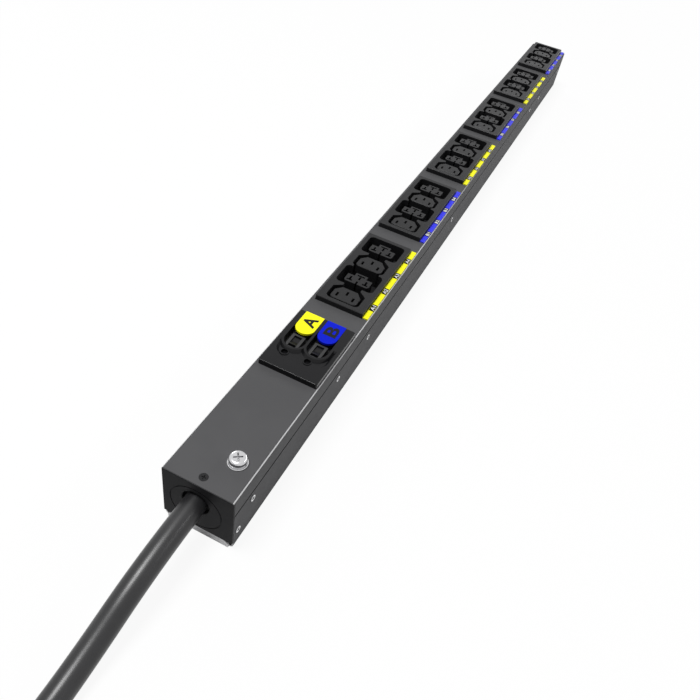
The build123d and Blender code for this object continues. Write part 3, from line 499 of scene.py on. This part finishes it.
class PDU_OT_moulding_finish(bpy.types.Operator):
    """Black plastics of the caps, bezel, breakers and outlets"""

    bl_idname = "pdu.moulding_finish"
    bl_label = "Moulding finish"

    def execute(self, context):
        settings = context.scene.pdu_finish
        cap = grained("cap_plastic", settings.cap, 0.5, grain=3200.0, relief=0.22, specular=0.05)
        dress(cap, "cable_end_cap", "top_end_cap", "cord_gland", "gland_nut")
        bezel = grained("bezel_plastic", settings.bezel, 0.22, grain=2400.0, relief=0.06, specular=0.2)
        dress(bezel, "breaker_bezel")
        breaker = grained("breaker_plastic", shade(settings.bezel, 0.8), 0.42, grain=2800.0, relief=0.14)
        dress(breaker, "breaker_bodies")
        dark = shade(settings.bezel, 0.6)
        rocker = grained("rocker_plastic", dark, 0.3, grain=2400.0, relief=0.05, specular=0.2)
        dress(rocker, "breaker_rocker_a", "breaker_rocker_b")
        outlet = grained("outlet_plastic", settings.moulding, 0.44, grain=3000.0, relief=0.24, specular=0.22)
        housings = [f"outlet_housing_{k + 1}" for k in range(MODULES)]
        dress(outlet, "module_rear_covers", *housings)
        insert = grained("insert_plastic", settings.insert, 0.4, grain=3000.0, relief=0.12, specular=0.22)
        dress(insert, *[f"outlet_cores_{k + 1}" for k in range(MODULES)])
        return {"FINISHED"}


def nearest_rivet(tree, split):
    """Distance from the axis of the nearest rivet, seen from the side."""
    side = tree.nodes.new("ShaderNodeCombineXYZ")
    tree.links.new(split.outputs["Y"], side.inputs["Y"])
    tree.links.new(split.outputs["Z"], side.inputs["Z"])
    distance = None
    for along, height in RIVETS:
        away = tree.nodes.new("ShaderNodeVectorMath")
        away.operation = "DISTANCE"
        tree.links.new(side.outputs["Vector"], away.inputs[0])
        away.inputs[1].default_value = (0.0, along, height)
        value = away.outputs["Value"]
        distance = value if distance is None else worked(tree, "MINIMUM", distance, value)
    return distance


def rivet_steel():
    """Bright rivet heads, with painted shade in the bore along their axis and behind the face of the
    chassis.
    """
    material = grained("rivet_steel", (0.85, 0.85, 0.86), 0.3, grain=900.0, relief=0.1, metallic=1.0)
    tree = material.node_tree
    shader = tree.nodes["Principled BSDF"]
    place = tree.nodes.new("ShaderNodeTexCoord")
    split = tree.nodes.new("ShaderNodeSeparateXYZ")
    tree.links.new(place.outputs["Object"], split.inputs["Vector"])
    aside = worked(tree, "ABSOLUTE", split.outputs["X"])
    colour = shader.inputs["Base Color"].links[0].from_socket
    # Painted shade in the bore and where the rivet lies behind the face of the chassis
    bore = between(tree, nearest_rivet(tree, split), *RIVET_BORE)
    dark = worked(tree, "MAXIMUM", between(tree, aside, *RIVET_FACE), bore)
    colour = blended(tree, dark, colour, BORE_SHADE)
    tree.links.new(colour, shader.inputs["Base Color"])
    return material


class PDU_OT_metal_finish(bpy.types.Operator):
    """Zinc plated, blackened and brass hardware"""

    bl_idname = "pdu.metal_finish"
    bl_label = "Metal finish"

    def execute(self, context):
        zinc = grained("zinc_plate", (0.60, 0.60, 0.61), 0.2, grain=900.0, relief=0.1, metallic=1.0)
        dress(zinc, "earth_screw", "earth_washer", "earth_lock_washer", "earth_nut", "rear_inserts")
        dull = grained("pin_steel", (0.5, 0.5, 0.51), 0.3, grain=900.0, relief=0.1, metallic=1.0)
        dress(dull, "rocker_pins")
        dress(rivet_steel(), "side_rivets")
        oxide = (0.006, 0.006, 0.007)
        black = grained("black_oxide", oxide, 0.45, grain=1200.0, relief=0.1, specular=0.2)
        dress(black, "cap_screw")
        brass = grained("plain_brass", (0.70, 0.50, 0.22), 0.28, grain=900.0, relief=0.08, metallic=1.0)
        dress(
            brass,
            "line_contacts",
            "neutral_contacts",
            "earth_contacts",
            "breaker_terminals",
            "line_busbars",
            "neutral_busbars",
            "earth_busbars",
            "plug_pins",
        )
        return {"FINISHED"}


class PDU_OT_bank_finish(bpy.types.Operator):
    """Colour code of the two banks: tabs, strips and dark number plates"""

    bl_idname = "pdu.bank_finish"
    bl_label = "Bank colours"

    def execute(self, context):
        settings = context.scene.pdu_finish
        film = {"roughness": 0.4, "grain": 1800.0, "relief": 0.03}
        yellow = grained("bank_yellow", settings.yellow, variation=0.03, specular=0.2, **film)
        dress(yellow, "bank_tab_a", "label_strip_1", "label_strip_3", "label_strip_5")
        blue = grained("bank_blue", settings.blue, variation=0.05, specular=0.08, **film)
        dress(blue, "bank_tab_b")
        strip = grained("strip_blue", settings.strip_blue, variation=0.05, specular=0.3, **film)
        dress(strip, "label_strip_2", "label_strip_4", "label_strip_6")
        plate = grained("number_plate", (0.004, 0.004, 0.005), 0.4, grain=2400.0, relief=0.08, specular=0.1)
        dress(plate, "number_plates")
        return {"FINISHED"}


class PDU_OT_lead_finish(bpy.types.Operator):
    """Insulation of the leads inside the chassis"""

    bl_idname = "pdu.lead_finish"
    bl_label = "Lead insulation"

    def execute(self, context):
        brown = grained("brown_insulation", (0.12, 0.045, 0.015), 0.35, grain=700.0, relief=0.05)
        dress(brown, "lead_line", "bank_leads")
        blue = grained("blue_insulation", (0.05, 0.16, 0.5), 0.35, grain=700.0, relief=0.05)
        dress(blue, "lead_neutral")
        leaf = (0.06, 0.28, 0.03)
        green = grained("green_insulation", leaf, 0.35, grain=700.0, relief=0.05, variation=0.3)
        dress(green, "lead_earth")
        return {"FINISHED"}


# Supply cord

def visible_route(settings):
    """Points from the cord hole down to the floor and to the hank."""
    middle = HANK_X + HANK_MIDDLE + settings.diameter / 2
    return [
        (-0.0015, -0.472, 0.0325),
        (-0.0015, -0.518, 0.0325),
        (-0.0046, -0.582, 0.0086),
        (-0.0038, -0.624, 0.008),
        (0.0015, -0.646, 0.008),
        (0.012, -0.670, 0.008),
        (middle, HANK_NEAR + HANK_ENTRY, LOW_LAYER),
    ]


def half_turn(centre, radius, start, turn, count):
    """Points on a half circle from an angle, in plan."""
    angle = np.radians(np.linspace(start, start + turn, count))
    return np.stack([centre[0] + radius * np.cos(angle), centre[1] + radius * np.sin(angle)], axis=1)


def hank_route(settings):
    """Three turns of the hank: two side by side on the floor and one in the groove between them.

    Each turn is a run towards -Y, a half circle, a run back and a half circle. The second near
    half circle climbs over the first one by a smooth step.
    """
    thick = settings.diameter
    far = HANK_NEAR - settings.hank_run
    count = settings.loop_points
    outer = HANK_MIDDLE + thick / 2
    inner = HANK_MIDDLE - thick / 2
    route = []
    far_radii = (outer, inner, HANK_MIDDLE)
    near_loops = (
        ((HANK_X - thick / 2, HANK_NEAR), HANK_MIDDLE),
        ((HANK_X + thick / 4, HANK_NEAR), HANK_MIDDLE - thick / 4),
        None,
    )
    for turn, (far_radius, near_loop) in enumerate(zip(far_radii, near_loops)):
        height = TOP_LAYER if turn == 2 else LOW_LAYER
        for share in (0.0, 0.3, 0.6, 0.9):
            route.append((HANK_X + far_radius, HANK_NEAR - share * settings.hank_run, height))
        for x, y in half_turn((HANK_X, far), far_radius, 0.0, -180.0, count):
            route.append((x, y, height))
        if near_loop is None:
            continue
        for share in (0.25, 0.5, 0.75, 0.9):
            route.append((HANK_X - far_radius, far + share * settings.hank_run, height))
        loop = half_turn(*near_loop, 180.0, -180.0, count)
        for step, (x, y) in enumerate(loop):
            route.append((x, y, near_height(turn, step / (count - 1))))
    route.append((HANK_X - HANK_MIDDLE, far + RISE_START, TOP_LAYER))
    route.append((HANK_X - thick / 2, far + RISE_END, PLUG_HEIGHT))
    route.append((HANK_X - thick / 2, far + CORD_END, PLUG_HEIGHT))
    return route


def near_height(turn, share):
    """Height along a near half circle: level on the first turn, a climb and a descent on the second."""
    if turn == 0:
        return LOW_LAYER
    climb = min(1.0, share / 0.5)
    climb = climb * climb * (3.0 - 2.0 * climb)
    settle = max(0.0, (share - 0.65) / 0.35)
    return LOW_LAYER + (OVER_CROSSING - LOW_LAYER) * climb - (OVER_CROSSING - TOP_LAYER) * settle


def jacket_material(colour):
    """Cord jacket: satin black with faint lengthwise streaks and dust."""
    material, tree, shader = new_material("cord_jacket")
    cloud = noise(tree, 60.0, detail=6.0)
    tone = ramp(tree, cloud, shade(colour, 0.8), shade(colour, 1.25))
    tree.links.new(tone, shader.inputs["Base Color"])
    streaks = noise(tree, 700.0, detail=3.0, stretch=(1.0, 0.04, 1.0))
    tree.links.new(span(tree, streaks, 0.3, 0.4), shader.inputs["Roughness"])
    shader.inputs["Specular IOR Level"].default_value = 0.5
    bump(tree, shader, noise(tree, 1800.0, detail=2.0), 0.05, GRAIN_DEPTH)
    return material


class PDU_OT_supply_cord(bpy.types.Operator):
    """Supply cord from the end cap over the floor into its hank and plug"""

    bl_idname = "pdu.supply_cord"
    bl_label = "Supply cord"

    def execute(self, context):
        settings = context.scene.pdu_cord
        points = visible_route(settings) + hank_route(settings)
        curve = bpy.data.curves.new("supply_cord", "CURVE")
        curve.dimensions = "3D"
        curve.bevel_depth = settings.diameter / 2
        curve.bevel_resolution = 6
        curve.resolution_u = 10
        curve.use_fill_caps = True
        spline = curve.splines.new("NURBS")
        spline.points.add(len(points) - 1)
        for point, place in zip(spline.points, points):
            point.co = (*place, 1.0)
        spline.order_u = 3
        spline.use_endpoint_u = True
        spline.use_smooth = True
        cord = bpy.data.objects.new("supply_cord", curve)
        context.scene.collection.objects.link(cord)
        curve.materials.append(jacket_material(settings.jacket))
        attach(cord, CHASSIS)
        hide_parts("power_cord", "cord_hank", "cord_end")
        dress(curve.materials[0], "cord_tail")
        on_cord = [nodes[name] for name in ("plug_nut", "plug_body", "plug_shroud", "plug_pins")]
        on_cord.append(hank_tie(settings))
        return {"FINISHED"}


def hank_tie(settings):
    """Strap round the three runs of the hank on its right side.

    Around it, a point is the furthest of the three cord centres in a direction, plus a radius in that
    direction. Across it, the strap's own section is a flat rounded loop, wide along Y.
    """
    thick = settings.diameter
    strap_width = 0.012
    strap_thickness = 0.0012
    strap_sink = 0.0004
    floor_gap = 0.0001
    direction = np.linspace(0.0, 2.0 * np.pi, 144, endpoint=False)
    outward = np.stack([np.cos(direction), np.sin(direction)], axis=1)
    centres = np.array(
        [
            [HANK_X + HANK_MIDDLE - thick / 2, LOW_LAYER],
            [HANK_X + HANK_MIDDLE + thick / 2, LOW_LAYER],
            [HANK_X + HANK_MIDDLE, TOP_LAYER],
        ]
    )
    furthest = centres[np.argmax(outward @ centres.T, axis=1)]
    section = np.linspace(0.0, 2.0 * np.pi, 28, endpoint=False)
    across = np.sign(np.cos(section)) * np.abs(np.cos(section)) ** 0.3 * strap_width / 2
    rise = (1.0 + np.sign(np.sin(section)) * np.abs(np.sin(section)) ** 0.5) * strap_thickness / 2
    reach = thick / 2 - strap_sink + rise[None, :]
    points = np.empty((len(direction), len(section), 3))
    points[:, :, 0] = furthest[:, None, 0] + outward[:, None, 0] * reach
    points[:, :, 1] = HANK_NEAR - settings.hank_run / 2 + across[None, :]
    points[:, :, 2] = np.maximum(furthest[:, None, 1] + outward[:, None, 1] * reach, floor_gap)
    material, tree, shader = new_material("tie_weave")
    weave = noise(tree, 1400.0, detail=2.0, stretch=(1.0, 2.5, 1.0))
    tree.links.new(
        ramp(tree, weave, (0.008, 0.008, 0.009), (0.03, 0.03, 0.032)), shader.inputs["Base Color"]
    )
    shader.inputs["Roughness"].default_value = 0.9
    bump(tree, shader, weave, 0.6, 0.0004)
    strap = add_piece("hank_strap", grid_mesh("hank_strap", points, True, True), material)
    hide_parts("hank_tie")
    return strap


class PDU_OT_supply_plug(bpy.types.Operator):
    """Blue mouldings of the supply plug"""

    bl_idname = "pdu.supply_plug"
    bl_label = "Supply plug"

    def execute(self, context):
        blue = grained("plug_plastic", (0.02, 0.07, 0.30), 0.42, grain=2200.0, relief=0.2, variation=0.06)
        grey = grained("plug_grey", (0.30, 0.31, 0.32), 0.45, grain=2200.0, relief=0.2, variation=0.05)
        dress(blue, "plug_shroud", "plug_body")
        dress(grey, "plug_nut")
        return {"FINISHED"}


# Print

class PDU_OT_bank_letters(bpy.types.Operator):
    """Letters A and B on the tabs of the two banks"""

    bl_idname = "pdu.bank_letters"
    bl_label = "Bank letters"

    def execute(self, context):
        settings = context.scene.pdu_letters
        ink = grained("black_ink", (0.004, 0.004, 0.005), 0.5, grain=1500.0, relief=0.05, specular=0.15)
        for letter in "ab":
            low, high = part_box(f"bank_tab_{letter}")
            place = ((low[0] + high[0]) / 2 + PRINT_SHIFT, low[1] + LETTER_PLACE, high[2])
            mesh = written(
                f"bank_letter_{letter}",
                letter.upper(),
                place,
                settings.bank_height,
                settings.bank_length,
                settings.ink,
                weight=LETTER_WEIGHT,
            )
            piece = add_piece(f"bank_letter_{letter}", mesh, ink)
        return {"FINISHED"}


class PDU_OT_outlet_numbers(bpy.types.Operator):
    """White bank letter and number on each number plate"""

    bl_idname = "pdu.outlet_numbers"
    bl_label = "Outlet numbers"

    def execute(self, context):
        settings = context.scene.pdu_letters
        white = grained("white_ink", (0.85, 0.85, 0.85), 0.5, grain=1500.0, relief=0.03, variation=0.02)
        strips = [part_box(f"label_strip_{k + 1}") for k in range(MODULES)]
        meshes = []
        for k, (low, high) in enumerate(strips):
            bank = "AB"[k % 2]
            for outlet, middle in enumerate(PLATE_MIDDLES):
                number = (k // 2) * OUTLETS_PER_MODULE + outlet + 1
                place = ((low[0] + high[0]) / 2 + PRINT_SHIFT, low[1] + middle, high[2])
                meshes.append(
                    written(
                        f"outlet_number_{bank}{number}",
                        f"{bank}{number}",
                        place,
                        settings.number_height,
                        settings.number_length,
                        settings.ink,
                        weight=NUMBER_WEIGHT,
                    )
                )
        for mesh in meshes:
            piece = add_piece(mesh.name, mesh, white)
        return {"FINISHED"}


# Stage

def lamp(name, place, target, size, power, along=(0.0, 0.0, 1.0)):
    """A flat soft lamp aimed at a point, with its second size along a direction."""
    light = bpy.data.lights.new(name, "AREA")
    light.shape = "RECTANGLE"
    light.size, light.size_y = size
    light.energy = power
    holder = bpy.data.objects.new(name, light)
    holder.location = place
    back = (Vector(place) - Vector(target)).normalized()
    side = Vector(along).cross(back).normalized()
    axes = Matrix((side, back.cross(side), back)).transposed()
    holder.rotation_euler = axes.to_euler()
    bpy.context.scene.collection.objects.link(holder)
    return holder


def background_share(tree):
    """One where the camera, a reflection or a view through glass meets the background, else nought."""
    path = tree.nodes.new("ShaderNodeLightPath")
    seen = worked(tree, "MAXIMUM", path.outputs["Is Camera Ray"], path.outputs["Is Glossy Ray"])
    return worked(tree, "MAXIMUM", seen, path.outputs["Is Transmission Ray"])


class PDU_OT_stage(bpy.types.Operator):
    """Pale floor, soft studio light and the camera"""

    bl_idname = "pdu.stage"
    bl_label = "Stage"

    def execute(self, context):
        settings = context.scene.pdu_stage
        scene = context.scene
        scene.view_settings.view_transform = "Standard"

        half = settings.floor_size / 2
        corners = np.array([[-half, -half, 0.0], [half, -half, 0.0], [half, half, 0.0], [-half, half, 0.0]])
        mesh = bpy.data.meshes.new("floor")
        mesh.from_pydata(corners.tolist(), [], [(0, 1, 2, 3)])
        material, tree, shader = new_material("floor_paper")
        shader.inputs["Base Color"].default_value = (0.9, 0.9, 0.9, 1.0)
        shader.inputs["Roughness"].default_value = 0.9
        shader.inputs["Specular IOR Level"].default_value = 0.0
        glow = tree.nodes.new("ShaderNodeEmission")
        mix = tree.nodes.new("ShaderNodeMixShader")
        share = tree.nodes.new("ShaderNodeMath")
        share.operation = "MULTIPLY"
        share.inputs[1].default_value = FLOOR_GLOW
        tree.links.new(background_share(tree), share.inputs[0])
        tree.links.new(share.outputs["Value"], mix.inputs["Fac"])
        tree.links.new(shader.outputs["BSDF"], mix.inputs[1])
        tree.links.new(glow.outputs["Emission"], mix.inputs[2])
        tree.links.new(mix.outputs["Shader"], tree.nodes["Material Output"].inputs["Surface"])
        mesh.materials.append(material)
        floor = bpy.data.objects.new("floor", mesh)
        scene.collection.objects.link(floor)

        world = bpy.data.worlds.new("studio")
        world.use_nodes = True
        scene.world = world
        tree = world.node_tree
        even = tree.nodes["Background"]
        even.inputs["Color"].default_value = (1.0, 1.0, 1.0, 1.0)
        even.inputs["Strength"].default_value = settings.world_light
        seen = tree.nodes.new("ShaderNodeBackground")
        seen.inputs["Color"].default_value = (1.0, 1.0, 1.0, 1.0)
        seen.inputs["Strength"].default_value = 1.0
        mix = tree.nodes.new("ShaderNodeMixShader")
        tree.links.new(background_share(tree), mix.inputs["Fac"])
        tree.links.new(even.outputs["Background"], mix.inputs[1])
        tree.links.new(seen.outputs["Background"], mix.inputs[2])
        tree.links.new(mix.outputs["Shader"], tree.nodes["World Output"].inputs["Surface"])

        lamp(
            "key",
            place=(-0.5, -0.7, 2.3),
            target=(0.0, -0.2, 0.05),
            size=(0.8, 0.8),
            power=46.0,
            along=(0.0, 1.0, 0.0),
        )
        strip_start = Vector((1.7, -0.1, 1.3))
        strip_end = Vector((0.5, 2.3, 0.5))
        lamp(
            "edge",
            place=(strip_start + strip_end) / 2,
            target=(0.0, -0.1, 0.05),
            size=(0.2, 2.8),
            power=11.0,
            along=strip_end - strip_start,
        )
        lamp("back", place=(-1.8, 1.4, 1.4), target=(0.0, 0.1, 0.05), size=(0.8, 0.8), power=10.0)

        camera = bpy.data.cameras.new("camera")
        camera.lens = settings.lens
        camera.sensor_width = 36.0
        camera.clip_start = 0.01
        holder = bpy.data.objects.new("camera", camera)
        holder.location = settings.camera_place
        holder.rotation_euler = Euler([math.radians(angle) for angle in settings.camera_turn], "XYZ")
        scene.collection.objects.link(holder)
        scene.camera = holder
        return {"FINISHED"}


class PDU_PT_panel(bpy.types.Panel):
    """Lists the steps that build the unit's looks"""

    bl_idname = "PDU_PT_panel"
    bl_label = "Power unit"
    bl_space_type = "VIEW_3D"
    bl_region_type = "UI"
    bl_category = "Power unit"

    def draw(self, context):
        for step in STEPS:
            self.layout.operator(step.bl_idname)


STEPS = (
    PDU_OT_chassis_finish,
    PDU_OT_moulding_finish,
    PDU_OT_metal_finish,
    PDU_OT_bank_finish,
    PDU_OT_lead_finish,
    PDU_OT_supply_cord,
    PDU_OT_supply_plug,
    PDU_OT_bank_letters,
    PDU_OT_outlet_numbers,
    PDU_OT_stage,
)

SETTINGS = {
    "pdu_finish": FinishSettings,
    "pdu_cord": CordSettings,
    "pdu_letters": LetterSettings,
    "pdu_stage": StageSettings,
}


def register():
    for settings in SETTINGS.values():
        bpy.utils.register_class(settings)
    for step in STEPS:
        bpy.utils.register_class(step)
    bpy.utils.register_class(PDU_PT_panel)
    for name, settings in SETTINGS.items():
        setattr(bpy.types.Scene, name, bpy.props.PointerProperty(type=settings))


def unregister():
    for name in SETTINGS:
        delattr(bpy.types.Scene, name)
    bpy.utils.unregister_class(PDU_PT_panel)
    for step in reversed(STEPS):
        bpy.utils.unregister_class(step)
    for settings in SETTINGS.values():
        bpy.utils.unregister_class(settings)


def main():
    register()
    for step in STEPS:
        group, name = step.bl_idname.split(".")
        getattr(getattr(bpy.ops, group), name)()


if __name__ == "__main__":
    main()
